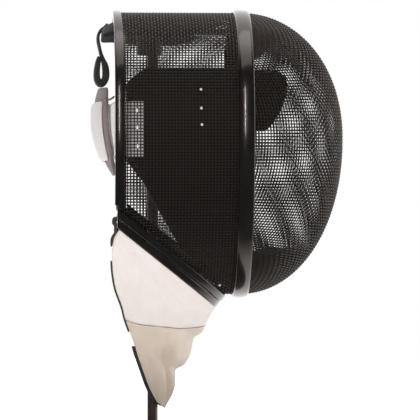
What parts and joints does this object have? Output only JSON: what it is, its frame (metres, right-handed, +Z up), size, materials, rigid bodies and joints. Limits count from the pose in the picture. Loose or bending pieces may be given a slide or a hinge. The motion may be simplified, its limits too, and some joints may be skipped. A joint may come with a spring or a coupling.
{
  "type": "fencing mask on a post stand",
  "caption": "Full-head fencing mask of black woven wire with a hanging throat cloth, held up by a plain round-based post stand.",
  "frame": {"origin": "middle of the stand's underside, on the post's axis", "axes": "+Z up from the table, +X the way the face looks, +Y towards the wearer's left"},
  "size_m": [0.2975, 0.23, 0.4209],
  "materials": {
    "black_wire": "black enamelled woven steel wire",
    "gloss_trim": "gloss black moulded edging",
    "white_cloth": "off-white woven protective cloth",
    "conductive_cloth": "matt beige-grey cloth with a metal thread",
    "black_edging": "black webbing and tape",
    "black_padding": "black brushed cloth over foam",
    "grey_felt": "mid grey felt",
    "white_band": "white elastic and smooth white cloth",
    "stand_metal": "dark brown enamel"
  },
  "bodies": {
    "root": {"back_pad": "white_band", "bib": "white_cloth", "bib_edging_left": "black_edging", "bib_edging_right": "black_edging", "bib_skirt": "conductive_cloth", "bib_trim": "gloss_trim", "cheek_pad_left": "black_padding", "cheek_pad_right": "black_padding", "chin_pad": "black_padding", "corner_tab_left": "black_edging", "corner_tab_right": "black_edging", "crown_pad": "black_padding", "cup_tie_left": "black_edging", "cup_tie_right": "black_edging", "forehead_pad": "black_padding", "front_mesh": "black_wire", "front_trim": "gloss_trim", "head_cup": "grey_felt", "jaw_trim": "gloss_trim", "rear_trim": "gloss_trim", "side_band_left": "white_band", "side_band_right": "white_band", "side_mesh": "black_wire", "skirt_edging_left": "black_edging", "skirt_edging_right": "black_edging", "stand_base": "stand_metal", "stand_collar": "stand_metal", "stand_post": "stand_metal", "stand_rest": "stand_metal", "temple_pad_left": "black_padding", "temple_pad_right": "black_padding", "top_strap": "black_edging"}
  },
  "joints": []
}
